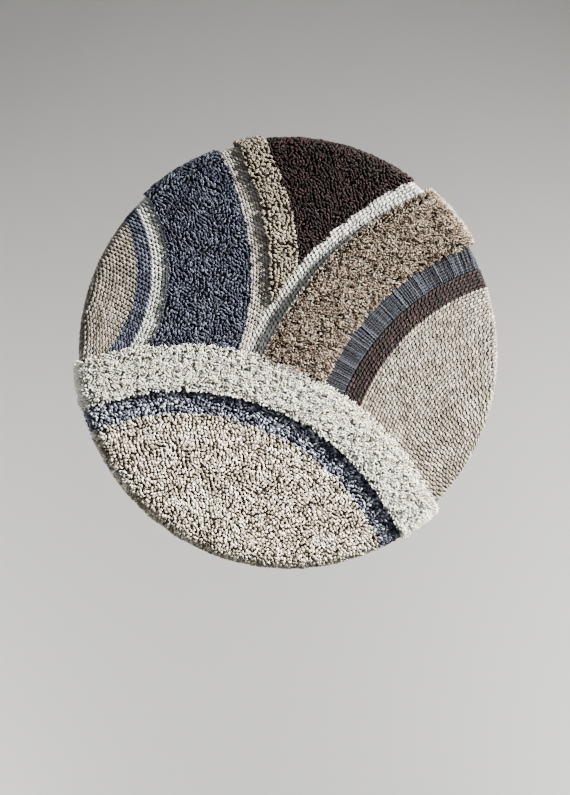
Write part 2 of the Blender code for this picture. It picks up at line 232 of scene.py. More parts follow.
def clearance(field, flat):
    # how far each flat place is inside the field's shown border; below zero it is outside
    room = workedRadius - np.hypot(flat[..., 0], flat[..., 1])
    inFront = fanOrder
    if field["fan"]:
        away = fanDistance(field["fan"], flat)
        room = np.minimum(room, field["outer"] - away)
        if field["inner"] > 0:
            room = np.minimum(room, away - field["inner"])
        inFront = fanOrder[fanOrder.index(field["fan"]) + 1:]
    for name in inFront:
        room = np.minimum(room, fanDistance(name, flat) - fanEdge(name))
    return room


def pileAt(flat):
    # the pile height of whatever field shows at each flat place, 0 off the worked face
    height = np.zeros(flat.shape[:-1])
    for field in fields:
        height = np.where(clearance(field, flat) > 0, field["pile"], height)
    return height


def awayFromField(field, flat):
    # the flat direction that leaves the field by the shortest way
    step = 0.0005
    dx = clearance(field, flat + (step, 0)) - clearance(field, flat - (step, 0))
    dz = clearance(field, flat + (0, step)) - clearance(field, flat - (0, step))
    length = np.maximum(np.hypot(dx, dz), 1e-9)
    return np.stack((-dx / length, -dz / length), -1)


def ripple(flat, size, seed):
    # smooth unevenness from -1 to 1, about size metres from crest to crest
    waves = np.random.default_rng(seed)
    total = np.zeros(flat.shape[:-1])
    for _ in range(7):
        angle, phase = waves.uniform(0, math.tau, 2)
        scale = math.tau / size * waves.uniform(0.6, 1.5)
        total += np.sin(scale * (flat[..., 0] * math.cos(angle) + flat[..., 1] * math.sin(angle)) + phase)
    return total / 3.2


def rimPlaces(field, layout, height):
    # over the board's edge the rows follow the edge, closer at their roots, so that their tops stay even
    rowGap, border, loose = layout["rowGap"], layout["border"], layout["loose"]
    edge, side = board["edgeRound"], board["sideWorked"] - layout["border"]
    step = rowGap * (edge + board["clothOutside"]) / (edge + board["seat"] + height)
    turned = max(1, round(roundLength / step))
    rows = [flatRadius + roundLength * (i + 0.5) / turned for i in range(turned)]
    down = max(1, round(side / rowGap))
    rows += [flatRadius + roundLength + side * (i + 0.6) / down for i in range(down)]
    places, angles = [], []
    for index, radius in enumerate(rows):
        total = int(math.tau * (board["radius"] + height) / layout["stitchGap"])
        turn = (np.arange(total) + layout["stagger"] * index % 1) * math.tau / total
        turn = turn + random.uniform(-1, 1, total) * loose / radius
        away = radius + random.uniform(-1, 1, total) * loose * 0.5
        place = np.stack((away * np.cos(turn), away * np.sin(turn)), -1)
        shown = clearance(field, place) > np.minimum(border * 0.5, workedRadius - away - 0.0003)
        places.append(place[shown])
        angles.append(turn[shown] + math.pi / 2)
    return np.concatenate(places), np.concatenate(angles)


def stitchPlaces(field, layout, height):
    # holes along rows that follow the field's arcs: flat place and direction of the row
    rowGap, border, loose = layout["rowGap"], layout["border"], layout["loose"]
    centre = np.array(fans[field["fan"] or "left"])
    far = np.hypot(*centre) + workedRadius
    inner = max(field["inner"], np.hypot(*centre) - workedRadius)
    outer = field["outer"] or far
    count = max(1, round((outer - inner - 2 * border + rowGap) / rowGap))
    if field["fan"] is None:
        inner = fanEdge("left") - 0.02
        count = math.ceil((far - inner) / rowGap)
    middleGap = (outer - inner - 2 * border) / max(1, count - 1) if field["inner"] > 0 else rowGap
    places, angles = [], []
    for row in range(count):
        radius = outer - border - row * middleGap
        total = int(math.tau * radius / layout["stitchGap"])
        turn = (np.arange(total) + layout["stagger"] * row % 1) * math.tau / total
        turn = turn + random.uniform(-1, 1, total) * loose / radius
        away = radius + random.uniform(-1, 1, total) * loose
        place = centre + np.stack((away * np.cos(turn), away * np.sin(turn)), -1)
        shown = clearance(field, place) > border * 0.5
        if field["stitch"] != "flat":
            shown &= np.hypot(*place.T) < flatRadius - rowGap * 0.15
        places.append(place[shown])
        angles.append(turn[shown] + math.pi / 2)
    if field["stitch"] != "flat":
        place, angle = rimPlaces(field, layout, height)
        places.append(place)
        angles.append(angle)
    return np.concatenate(places), np.concatenate(angles)


# Yarn is made as joined tubes: many stitches at once, each a row of rings

def tubes(centres, side, halfWidth, halfHeight, corners, tone, depth):
    # centres: stitch, ring, xyz; side: one direction across each ring; the rest: stitch, ring
    stitches, rings = centres.shape[:2]
    ahead = np.gradient(centres, axis=1)
    ahead /= np.linalg.norm(ahead, axis=2, keepdims=True)
    side = side - ahead * (side * ahead).sum(2, keepdims=True)
    side /= np.linalg.norm(side, axis=2, keepdims=True)
    up = np.cross(ahead, side)
    angle = np.arange(corners) * math.tau / corners
    points = (centres[:, :, None]
              + side[:, :, None] * (halfWidth[..., None] * np.cos(angle))[..., None]
              + up[:, :, None] * (halfHeight[..., None] * np.sin(angle))[..., None])
    grid = np.arange(stitches * rings * corners).reshape(stitches, rings, corners)
    following = np.roll(grid, -1, axis=2)
    quads = np.stack((grid[:, :-1], following[:, :-1], following[:, 1:], grid[:, 1:]), -1).reshape(-1, 4)
    caps = np.concatenate((grid[:, 0, ::-1], grid[:, -1]))
    run = np.zeros((stitches, rings))
    run[:, 1:] = np.cumsum(np.linalg.norm(np.diff(centres, axis=1), axis=2), axis=1)
    around = np.broadcast_to(np.arange(corners) / corners, (stitches, rings - 1, corners))
    runs = np.broadcast_to(run[:, :, None], (stitches, rings, corners))
    uv = np.stack((
        np.stack((runs[:, :-1], around), -1),
        np.stack((runs[:, :-1], around + 1 / corners), -1),
        np.stack((runs[:, 1:], around + 1 / corners), -1),
        np.stack((runs[:, 1:], around), -1),
    ), -2).reshape(-1, 2)
    return {
        "points": points.reshape(-1, 3),
        "quads": quads,
        "caps": caps,
        "uv": uv,
        "tone": np.repeat(tone, rings * corners),
        "depth": np.repeat(depth.reshape(-1), corners),
    }


def yarnMesh(name, parts):
    # one mesh from several sets of tubes, with its yarn map, tone and depth, the depth setting how much painted
    # shade each point gets
    mesh = bpy.data.meshes.new(name)
    points = np.concatenate([part["points"] for part in parts])
    starts = np.cumsum([0] + [len(part["points"]) for part in parts[:-1]])
    loops, sizes, uv = [], [], []
    for part, start in zip(parts, starts):
        for faces in (part["quads"], part["caps"]):
            loops.append((faces + start).reshape(-1))
            sizes.append(np.full(len(faces), faces.shape[1]))
        uv += [part["uv"], np.zeros((part["caps"].size, 2))]
    loops, sizes, uv = np.concatenate(loops), np.concatenate(sizes), np.concatenate(uv)
    mesh.vertices.add(len(points))
    mesh.vertices.foreach_set("co", points.astype(np.float32).reshape(-1))
    mesh.loops.add(len(loops))
    mesh.loops.foreach_set("vertex_index", loops.astype(np.int32))
    mesh.polygons.add(len(sizes))
    mesh.polygons.foreach_set("loop_start", np.concatenate(([0], np.cumsum(sizes)[:-1])).astype(np.int32))
    mesh.update(calc_edges=True)
    mesh.uv_layers.new(name="yarn").data.foreach_set("uv", uv.astype(np.float32).reshape(-1))
    for key in ("tone", "depth"):
        values = np.concatenate([part[key] for part in parts]).astype(np.float32)
        mesh.attributes.new(key, "FLOAT", "POINT").data.foreach_set("value", values)
    mesh.shade_smooth()
    return mesh


# Loops: each is an arch of yarn that bulges over its own two feet

loopShape = {
    "loops": {"rowGap": 0.0033, "stitchGap": 0.0043, "border": 0.0011, "stagger": 0.5, "loose": 0.0005,
              "halfSpan": 0.0017, "halfYarn": 0.00114, "turn": 1.0, "lean": 0.20, "heightSpread": 0.08,
              "tone": 0.5, "toneSpread": 0.22},
    # the lowest fan has rounder, plumper loops
    "front_loops_oat": {"rowGap": 0.0033, "stitchGap": 0.0039, "border": 0.0011, "stagger": 0.5, "loose": 0.0005,
                        "halfSpan": 0.0011, "halfYarn": 0.00130, "turn": 1.2, "lean": 0.17, "heightSpread": 0.07,
                        "tone": 0.5, "toneSpread": 0.30},
    "front_loops_navy": {"rowGap": 0.0031, "stitchGap": 0.0038, "border": 0.0011, "stagger": 0.5, "loose": 0.0006,
                         "halfSpan": 0.0013, "halfYarn": 0.00116, "turn": 1.7, "lean": 0.20, "heightSpread": 0.08,
                         "tone": 0.5, "toneSpread": 0.28},
    # the high loops' tone sits near the yarn's dark end, darker than the same yarn in the lowest fan: painted shade
    # for light falling off there
    "highLoops": {"rowGap": 0.0031, "stitchGap": 0.0035, "border": 0.0011, "stagger": 0.5, "loose": 0.0006,
                  "halfSpan": 0.0014, "halfYarn": 0.00124, "turn": 1.5, "lean": 0.18, "heightSpread": 0.07,
                  "tone": 0.05, "toneSpread": 0.16},
    "outline": ((-0.88, 0.36), (-1.0, 0.70), (-0.56, 1.02), (0.56, 1.02), (1.0, 0.70), (0.88, 0.36)),
    "edgeLean": 0.50,          # how far a loop beside a lower field leans out, per unit of height
    "edgeWidth": 0.0050,
    "rimHeight": 0.8,          # the share of the pile height at which rows over the edge stand evenly
    "swell": (0.88, 1.0, 1.08, 1.08, 1.0, 0.88),
    "lowerLook": 0.003,        # how far past its border a field looks for a lower neighbour
}


def makeLoops(field):
    shape = loopShape.get(field["node"], loopShape[field["stitch"]])
    flat, rowAngle = stitchPlaces(field, shape, field["pile"] * loopShape["rimHeight"])
    count = len(flat)
    facing = rowAngle + math.pi / 2 * (field["node"] == "front_loops_oat")
    facing = facing + shape["turn"] * ripple(flat, 0.035, 5) + random.normal(0, 0.38, count)
    along, across, out = boardFrames(flat, facing)
    outline = np.array(loopShape["outline"])
    height = field["pile"] - shape["halfYarn"]
    height = height * (1 + shape["heightSpread"] * random.normal(0, 0.6, count))
    height = height * (1 + 0.06 * ripple(flat, 0.03, 8))
    span = shape["halfSpan"] * (1 + 0.12 * random.normal(0, 1, count))
    u = outline[None, :, 0] * span[:, None]
    up = outline[None, :, 1] * height[:, None]
    share = np.clip(outline[None, :, 1], 0, 1) ** 1.5 * height[:, None]

    leanFlat = shape["lean"] * np.stack((ripple(flat, 0.03, 11), ripple(flat, 0.03, 12) - 0.25), -1)
    leanFlat += shape["lean"] * 0.6 * random.normal(0, 1, (count, 2))
    leaving = awayFromField(field, flat)
    beyond = flat + leaving * (np.maximum(clearance(field, flat), 0) + loopShape["lowerLook"])[:, None]
    lower = np.clip((field["pile"] - pileAt(beyond)) / field["pile"], 0, 1)
    near = np.clip(1 - clearance(field, flat) / loopShape["edgeWidth"], 0, 1)
    leanFlat += leaving * (loopShape["edgeLean"] * near * lower)[:, None]
    east, north, _ = boardFrames(flat, np.zeros(count))
    leaning = east * leanFlat[:, :1] + north * leanFlat[:, 1:]

    base = onBoard(flat, np.full(count, board["seat"]))
    centres = (base[:, None] + along[:, None] * u[..., None] + out[:, None] * up[..., None]
               + leaning[:, None] * share[..., None])
    side = np.broadcast_to(across[:, None], centres.shape)
    thick = shape["halfYarn"] * (1 + 0.10 * random.normal(0, 1, count))
    half = thick[:, None] * np.array(loopShape["swell"])[None]
    tone = shape["tone"] + shape["toneSpread"] * random.normal(0, 1, count)
    tone = np.clip(tone + 0.10 * ripple(flat, 0.05, 21), 0.02, 1)
    # each loop darkens down its legs towards its feet: painted shade
    depth = np.broadcast_to(np.clip(outline[:, 1], 0, 1), (count, len(outline)))
    return [tubes(centres, side, half, half * 0.95, 5, tone, depth)]


# Flat stitches: short slanting stitches, end to end along their rows

flatShape = {
    "rowGap": 0.0038, "stitchGap": 0.0053, "border": 0.0012, "stagger": 0.37, "loose": 0.00022,
    "halfLength": 0.0038, "halfWidth": 0.00166, "halfHeight": 0.00125,
    "slant": 0.40,             # radians, from the direction of the row
    "swirl": 0.22,             # how much the slant changes from place to place
    "toneSpread": 0.24,
    "heights": (-0.50, 0.58, 1.0, 0.98, 0.62, -0.50),
    "widths": (0.60, 0.98, 1.03, 1.03, 0.98, 0.60),
}


def makeFlatStitches(field):
    shape = flatShape
    flat, rowAngle = stitchPlaces(field, shape, field["pile"])
    count, rings = len(flat), len(shape["heights"])
    angle = rowAngle + shape["slant"] + shape["swirl"] * ripple(flat, 0.11, 35)
    angle = angle + random.normal(0, 0.07, count)
    length = shape["halfLength"] * (1 + 0.05 * random.normal(0, 1, count))
    u = np.linspace(-1, 1, rings)[None] * length[:, None]
    heading = np.stack((np.cos(angle), np.sin(angle)), -1)
    path = flat[:, None] + heading[:, None] * u[..., None]
    top = field["pile"] - shape["halfHeight"]
    level = np.array(shape["heights"])[None] * top * (1 + 0.08 * random.normal(0, 1, count))[:, None]
    centres = onBoard(path, board["seat"] + level)
    _, across, _ = boardFrames(flat, angle)
    side = np.broadcast_to(across[:, None], centres.shape)
    turned = np.clip((np.hypot(flat[:, 0], flat[:, 1]) - flatRadius) / roundLength, 0, 1)
    widths = np.array(shape["widths"])[None] * (1 + 0.06 * random.normal(0, 1, count) + 0.2 * turned)[:, None]
    tone = 0.5 + shape["toneSpread"] * random.normal(0, 1, count)
    tone = np.clip(tone + 0.12 * ripple(flat, 0.06, 31), 0.02, 1)
    # each stitch is darkened towards its ends, where it goes into the cloth: painted shade in the dimples
    depth = np.broadcast_to(np.clip(np.array(shape["heights"]), 0, 1), (count, rings))
    return [tubes(centres, side, shape["halfWidth"] * widths, shape["halfHeight"] * widths, 5, tone, depth)]


# Long stitches: yarn laid straight across the band, side by side

longShape = {
    "gap": 0.0015, "halfWidth": 0.00092, "halfHeight": 0.00090, "rings": 12,
    "sway": 0.0004, "tilt": 0.020, "wave": 0.00030, "waveLength": 0.011,
    "under": 0.0030,           # how far each stitch runs on under the pile beside it
    "uneven": 0.12,            # how much the stitches' heights differ
    "proud": 0.0002,           # every second stitch stands this much higher
    "dive": 0.10,              # the share of its length in which a stitch goes down to the cloth
}


def makeLongStitches(field):
    shape = longShape
    centre = np.array(fans[field["fan"]])
    middle = (field["inner"] + field["outer"]) / 2
    count = int(math.tau * middle / shape["gap"])
    turns = (np.arange(count) + random.uniform(-0.18, 0.18, count)) * math.tau / count
    steps = np.linspace(field["inner"] + 0.0002, field["outer"] - 0.0002, 60)
    rays = centre + steps[None, :, None] * np.stack((np.cos(turns), np.sin(turns)), -1)[:, None]
    shown = clearance(field, rays) > 0.0001
    kept = shown.sum(1) > 8
    turns, shown, count = turns[kept], shown[kept], int(kept.sum())
    start = steps[shown.argmax(1)]
    end = steps[len(steps) - 1 - shown[:, ::-1].argmax(1)]
    end = np.where(end > field["outer"] - 0.001, end + shape["under"], end)
    share = np.linspace(0, 1, shape["rings"])
    radius = start[:, None] + (end - start)[:, None] * share
    bow = np.sin(share * math.pi)[None] * random.normal(0, shape["sway"], count)[:, None]
    bow = bow + (share - 0.5)[None] * (random.normal(0, shape["tilt"], count) * (end - start))[:, None]
    phase = random.uniform(0, math.tau, (count, 1))
    bow = bow + shape["wave"] * np.sin(radius * math.tau / shape["waveLength"] + phase)
    angle = turns[:, None] + bow / radius
    path = centre + radius[..., None] * np.stack((np.cos(angle), np.sin(angle)), -1)
    dive = np.clip(np.minimum(share, 1 - share) / shape["dive"], 0, 1) ** 0.6
    level = (field["pile"] - shape["halfHeight"]) * (1.25 * dive - 0.25)
    level = level * (1 + shape["uneven"] * random.normal(0, 1, (count, 1)))
    level = level + shape["proud"] * (np.arange(count) % 2)[:, None] * dive
    centres = onBoard(path, board["seat"] + level)
    _, across, _ = boardFrames(path[:, shape["rings"] // 2], turns)
    side = np.broadcast_to(across[:, None], centres.shape)
    widths = (0.65 + 0.35 * dive)[None] * (1 + 0.10 * random.normal(0, 1, (count, 1)))
    tone = np.clip(0.5 + 0.25 * random.normal(0, 1, count), 0.02, 1)
    # darker where the stitch dives down to the cloth: painted shade
    depth = np.broadcast_to(dive, (count, shape["rings"]))
    return [tubes(centres, side, shape["halfWidth"] * widths, shape["halfHeight"] * widths, 6, tone, depth)]


# Cut pile: tufts of loose yarn ends that open out at the top

shagShape = {
    # a tuft is one cut end of yarn, opened into its plies, which lean out by spread
    # clump is how far neighbouring tufts lean together
    "tan": {"rowGap": 0.0026, "stitchGap": 0.0026, "border": 0.0011, "stagger": 0.5, "loose": 0.0006,
            "ring": 0.00060, "spread": 0.05, "curl": 0.05, "halfStrand": 0.00080, "clump": 0.06, "tone": 0.5},
    "offWhite": {"rowGap": 0.0028, "stitchGap": 0.0028, "border": 0.0011, "stagger": 0.5, "loose": 0.0006,
                 "ring": 0.00066, "spread": 0.05, "curl": 0.05, "halfStrand": 0.00088, "clump": 0.11, "tone": 0.6},
    "plies": 3,
    "levels": (0.42, 0.85, 1.04),
    "widths": (0.9, 1.10, 0.65),
    "stray": 0.04,             # each strand's own lean, beside its tuft's
    "rimTrim": 0.62,           # the pile is shorter where it turns over the board's edge
    "rimHeight": 0.8,
    "lowerLook": 0.003,
    "edgeLower": 0.35,         # how much lower the board's edge counts than the pile
    "edgeLean": 0.50,
    "edgeWidth": 0.0055,
    "overhang": 0.0030,        # the furthest that a strand hangs over the next field
    "droop": 0.04,
}


def makeShag(field):
    shape = shagShape[field["yarn"]]
    rimHeight = field["pile"] * shagShape["rimTrim"] * shagShape["rimHeight"]
    roots, _ = stitchPlaces(field, shape, rimHeight)
    tufts, strands = len(roots), shagShape["plies"]
    count = tufts * strands
    tuftLean = 0.06 * random.normal(0, 1, (tufts, 2)) + shape["clump"] * np.stack(
        (ripple(roots, 0.013, 41), ripple(roots, 0.013, 42)), -1)
    turns = random.uniform(0, math.tau, (tufts, 1)) + np.arange(strands) * math.tau / strands
    outward = np.stack((np.cos(turns), np.sin(turns)), -1).reshape(-1, 2)
    flat = np.repeat(roots, strands, 0) + outward * shape["ring"] + random.normal(0, 0.00025, (count, 2))
    lean = np.repeat(tuftLean, strands, 0) + outward * shape["spread"] * random.uniform(0.6, 1.4, (count, 1))
    lean += shagShape["stray"] * random.normal(0, 1, (count, 2))
    leaving = awayFromField(field, flat)
    room = np.maximum(clearance(field, flat), 0)
    beyond = flat + leaving * (room + shagShape["lowerLook"])[:, None]
    lower = np.clip((field["pile"] - pileAt(beyond)) / field["pile"], 0, 1)
    lower = np.where(np.hypot(beyond[:, 0], beyond[:, 1]) > workedRadius, shagShape["edgeLower"], lower)
    near = np.clip(1 - room / shagShape["edgeWidth"], 0, 1)
    lean += leaving * (shagShape["edgeLean"] * near * lower * random.uniform(0.4, 1.1, count))[:, None]
    lean[:, 1] -= shagShape["droop"]

    turned = np.clip((np.hypot(flat[:, 0], flat[:, 1]) - flatRadius) / roundLength, 0, 1)
    height = field["pile"] * (1 - (1 - shagShape["rimTrim"]) * turned)
    height = height * np.repeat(1 + 0.06 * random.normal(0, 1, tufts), strands)
    height = height * (1 + shape["clump"] * 0.6 * ripple(flat, 0.012, 51) + 0.03 * random.normal(0, 1, count)
                       - 0.12 * near * lower)
    tooFar = (lean * leaving).sum(1) - (room + shagShape["overhang"]) / height
    lean -= leaving * np.maximum(tooFar, 0)[:, None]
    east, north, out = boardFrames(flat, np.zeros(count))
    leaning = east * lean[:, :1] + north * lean[:, 1:]
    steep = 1 / np.sqrt(1 + (lean ** 2).sum(1))
    levels = np.array(shagShape["levels"])
    upward = levels[None] * (height * (0.30 + 0.70 * steep))[:, None]
    sideways = (levels ** 1.6)[None] * (height * (0.35 + 0.65 * steep))[:, None]
    # each strand curls over at its end, some one way round and some the other
    heading = random.uniform(0, math.tau, count)
    winding = random.choice((-1, 1), count) * random.uniform(0.8, 2.4, count)
    curlTurn = heading[:, None] + winding[:, None] * (levels - levels[0])[None] * 2
    curl = (shape["curl"] * height * random.uniform(0.5, 1.3, count))[:, None] * (levels - levels[0])[None]
    base = onBoard(flat, np.full(count, board["seat"]))
    centres = (base[:, None] + out[:, None] * upward[..., None] + leaning[:, None] * sideways[..., None]
               + east[:, None] * (curl * np.cos(curlTurn) * 2)[..., None]
               + north[:, None] * (curl * np.sin(curlTurn) * 2)[..., None])
    side = np.broadcast_to(east[:, None], centres.shape) + 0.001
    thick = shape["halfStrand"] * (1 + 0.15 * random.normal(0, 1, count))
    half = thick[:, None] * np.array(shagShape["widths"])
    tone = np.repeat(shape["tone"] + 0.22 * random.normal(0, 1, tufts), strands)
    tone = tone + 0.12 * random.normal(0, 1, count)
    # the strands darken towards their roots, deep in the pile: painted shade
    depth = np.broadcast_to(np.clip((levels - 0.35) / 0.60, 0, 1), (count, len(levels)))
    return [tubes(centres, side, half, half, 4, np.clip(tone, 0.02, 1), depth)]


# Under the stitches: the field's own solid, let down below the tops of its yarn, in the yarn's deepest painted
# shade

bedShape = {
    "share": {"loops": 0.45, "highLoops": 0.50, "flat": 0.36, "long": 0.35, "shag": 0.36},
    "borderShare": 0.75,       # near its border the bed stays under its own outer stitches
    "shagBorderShare": 0.06,
    "borderWidth": 0.005,
    # the bed's tone, darker under the shag; with depth 0 it shows between the stitches as painted shade
    "tone": 0.4, "shagTone": 0.2,
}


def makeBed(field):
    shag = field["stitch"] == "shag"
    deselectAll()
    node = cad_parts[field["node"]]
    node.select_set(True)
    bpy.context.view_layer.objects.active = node
    bpy.ops.object.duplicate()
    bed = bpy.context.object
    bed.parent = None
    for key in list(bed.keys()):
        del bed[key]
    bpy.ops.object.mode_set(mode="EDIT")
    bpy.ops.mesh.select_all(action="SELECT")
    bpy.ops.mesh.remove_doubles(threshold=1e-6)
    bpy.ops.object.mode_set(mode="OBJECT")
    bed.data.materials.clear()
    points = np.zeros(len(bed.data.vertices) * 3)
    bed.data.vertices.foreach_get("co", points)
    points = points.reshape(-1, 3) - board["middle"]
    # measure each point's height over the board, and let it down
    across = np.maximum(np.hypot(points[:, 0], points[:, 2]), 1e-9)
    pastFlat = np.maximum(across - flatRadius, 0)
    edgeStart = -(board["thickness"] - board["edgeRound"])
    forward = np.maximum(edgeStart - points[:, 1], 0)
    reach = np.hypot(pastFlat, forward)
    height = reach - board["edgeRound"]
    turn = np.clip(np.arctan2(pastFlat, forward), 0, math.pi / 2)
    behind = np.maximum(points[:, 1] + board["thickness"] - board["edgeRound"], 0)
    rho = np.where(across > flatRadius, flatRadius + turn * roundLength / (math.pi / 2) + behind, across)
    flat = points[:, [0, 2]] * (rho / across)[:, None]
    atBorder = bedShape["shagBorderShare" if shag else "borderShare"]
    inside = np.clip(clearance(field, flat) / bedShape["borderWidth"], 0, 1)
    share = bedShape["share"][field["stitch"]] * (atBorder + (1 - atBorder) * inside)
    lowered = board["seat"] + (height - board["seat"]) * share
    shrink = np.where(height > board["seat"], (lowered + board["edgeRound"]) / np.maximum(reach, 1e-9), 1.0)
    newAcross = np.where(across > flatRadius, flatRadius + pastFlat * shrink, across)
    points[:, 1] = np.where(forward > 0, edgeStart - forward * shrink, points[:, 1])
    points[:, 0] *= newAcross / across
    points[:, 2] *= newAcross / across
    bed.data.vertices.foreach_set("co", (points + board["middle"]).reshape(-1))
    bed.data.update()
    bed.data.shade_smooth()
    # depth 0 and a low tone give the bed the deepest painted shade, so that it darkens the gaps between stitches
    for key, value in (("tone", bedShape["shagTone" if shag else "tone"]), ("depth", 0.0)):
        layer = bed.data.attributes.new(key, "FLOAT", "POINT")
        layer.data.foreach_set("value", np.full(len(bed.data.vertices), value, np.float32))
    return bed


wool = {
    "fleck": 0.0012,           # flecks are single fibres, 0.4 mm apart, drawn at 1.2 mm so that they show
    "streak": 0.003,           # the length of a streak of fibres along the twist
    "plyPitch": 0.0034, "shagPlyPitch": 0.0016,
    # lowShade colours: what the yarn is darkened to at depth 0, deep between stitches, as painted shade; paler for
    # the white
    "lowShades": {"shag": "#8a7156", "flat": "#3b352e"},
    "lowShade": "#6e655c", "whiteLowShade": "#cfccbc",
    "bump": 0.7, "bumpDepth": 0.0005,
    "roughness": 0.88, "specular": 0.25, "sheen": 0.25, "sheenRoughness": 0.45,
}


def woolMaterial(name, yarn, plyPitch, lowShade):
    # Plied wool, spun and matt: rows of twisted fibres with paler and darker flecks.
    # Deep between the stitches its colour is painted darker, towards lowShade by the depth attribute (painted
    # shade), and it has a soft fuzz at its edges.
    material, tree, shader = newMaterial(name)
    tone = addNode(tree, "ShaderNodeAttribute", {"attribute_name": "tone"})
    depth = addNode(tree, "ShaderNodeAttribute", {"attribute_name": "depth"})
    place = addNode(tree, "ShaderNodeTexCoord")
    yarnMap = addNode(tree, "ShaderNodeUVMap", {"uv_map": "yarn"})
    dark, middle, light = yarn["tones"]
    flecks = addNode(tree, "ShaderNodeTexNoise", {"Scale": 1 / wool["fleck"], "Detail": 3.0, "Roughness": 0.7},
                     {"Vector": place.outputs["Object"]})
    centred = addNode(tree, "ShaderNodeMath", {"operation": "SUBTRACT", 1: 0.5}, {0: flecks.outputs["Fac"]})
    speckle = addNode(tree, "ShaderNodeMath", {"operation": "MULTIPLY", 1: yarn["flecks"] * 2.4},
                      {0: centred.outputs[0]})
    mixed = addNode(tree, "ShaderNodeMath", {"operation": "ADD"},
                    {0: tone.outputs["Fac"], 1: speckle.outputs[0]})
    # two plies wind round the yarn once in each plyPitch
    split = addNode(tree, "ShaderNodeSeparateXYZ", None, {0: yarnMap.outputs["UV"]})
    run = addNode(tree, "ShaderNodeMath", {"operation": "MULTIPLY", 1: 1 / plyPitch}, {0: split.outputs[0]})
    wound = addNode(tree, "ShaderNodeMath", {"operation": "MULTIPLY_ADD", 1: 2.0},
                    {0: split.outputs[1], 2: run.outputs[0]})
    turn = addNode(tree, "ShaderNodeMath", {"operation": "MULTIPLY", 1: math.tau}, {0: wound.outputs[0]})
    ply = addNode(tree, "ShaderNodeMath", {"operation": "SINE"}, {0: turn.outputs[0]})
    # its fibres run along the twist, about 0.4 mm apart
    across = addNode(tree, "ShaderNodeMath", {"operation": "MULTIPLY", 1: 9.0}, {0: wound.outputs[0]})
    along = addNode(tree, "ShaderNodeMath", {"operation": "MULTIPLY", 1: 1 / wool["streak"]}, {0: split.outputs[0]})
    yarnNumber = addNode(tree, "ShaderNodeMath", {"operation": "MULTIPLY", 1: 97.0}, {0: tone.outputs["Fac"]})
    twisted = addNode(tree, "ShaderNodeCombineXYZ", None,
                      {0: across.outputs[0], 1: along.outputs[0], 2: yarnNumber.outputs[0]})
    strands = addNode(tree, "ShaderNodeTexNoise", {"Scale": 1.0, "Detail": 2.0, "Roughness": 0.6},
                      {"Vector": twisted.outputs[0]})
    streaked = addNode(tree, "ShaderNodeMath", {"operation": "MULTIPLY_ADD", 1: 0.7, 2: -0.35},
                       {0: strands.outputs["Fac"]})
    toned = addNode(tree, "ShaderNodeMath", {"operation": "ADD"},
                    {0: mixed.outputs[0], 1: streaked.outputs[0]})
    colour = addNode(tree, "ShaderNodeValToRGB", None, {"Fac": toned.outputs[0]})
    setRamp(colour, ((0.0, dark), (0.5, middle), (1.0, light)))
    # painted shade: the yarn's colour is multiplied down towards lowShade where depth is low, deep between the
    # stitches
    shade = addNode(tree, "ShaderNodeValToRGB", None, {"Fac": depth.outputs["Fac"]})
    setRamp(shade, ((0.0, lowShade), (0.9, "#ffffff")))
    shaded = addNode(tree, "ShaderNodeMix", {"data_type": "RGBA", "blend_type": "MULTIPLY", 0: 1.0},
                     {6: colour.outputs["Color"], 7: shade.outputs["Color"]})
    tree.links.new(shaded.outputs[2], shader.inputs["Base Color"])
    fibres = addNode(tree, "ShaderNodeMath", {"operation": "MULTIPLY_ADD", 1: 2.2},
                     {0: strands.outputs["Fac"], 2: ply.outputs[0]})
    bump = addNode(tree, "ShaderNodeBump", {"Strength": wool["bump"], "Distance": wool["bumpDepth"]},
                   {"Height": fibres.outputs[0]})
    tree.links.new(bump.outputs["Normal"], shader.inputs["Normal"])
    shader.inputs["Roughness"].default_value = wool["roughness"]
    shader.inputs["Specular IOR Level"].default_value = wool["specular"]
    shader.inputs["Sheen Weight"].default_value = wool["sheen"]
    shader.inputs["Sheen Roughness"].default_value = wool["sheenRoughness"]
    shader.inputs["Sheen Tint"].default_value = linearColour(light)
    return material


makers = {"loops": makeLoops, "highLoops": makeLoops, "flat": makeFlatStitches, "long": makeLongStitches,
          "shag": makeShag}
materialWords = {"loops": "looped wool", "highLoops": "looped wool", "flat": "flat-stitched wool",
                 "long": "laid wool", "shag": "cut wool pile"}
woolMaterials = {}


def woolFor(field):
    kind = materialWords[field["stitch"]]
    name = f"{field['yarn']} {kind}"
    if name not in woolMaterials:
        lowShade = wool["lowShades"].get(field["stitch"], wool["lowShade"])
        if field["yarn"] == "offWhite":
            lowShade = wool["whiteLowShade"]
        pitch = wool["shagPlyPitch" if field["stitch"] == "shag" else "plyPitch"]
        woolMaterials[name] = woolMaterial(name, yarns[field["yarn"]], pitch, lowShade)
    return woolMaterials[name]


def makeField(field):
    bed = makeBed(field)
    mesh = yarnMesh(field["node"] + "_yarn", makers[field["stitch"]](field))
    yarn = bpy.data.objects.new(field["node"] + "_worked", mesh)
    bpy.context.scene.collection.objects.link(yarn)
    deselectAll()
    bed.select_set(True)
    yarn.select_set(True)
    bpy.context.view_layer.objects.active = yarn
    bpy.ops.object.join()
    yarn.data.materials.clear()
    yarn.data.materials.append(woolFor(field))
    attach(yarn, "root")
    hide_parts(field["node"])
    return yarn


# The ground cloth: thick cotton in a plain weave, drawn over the board and turned onto its back

groundCloth = {
    "hem": 0.030, "thickness": 0.0012, "spokes": 200, "rearRound": 0.0015, "frontSteps": 5, "rearSteps": 3,
    "pleats": 38, "pleatHeight": 0.0007, "threadGap": 0.0021,
}


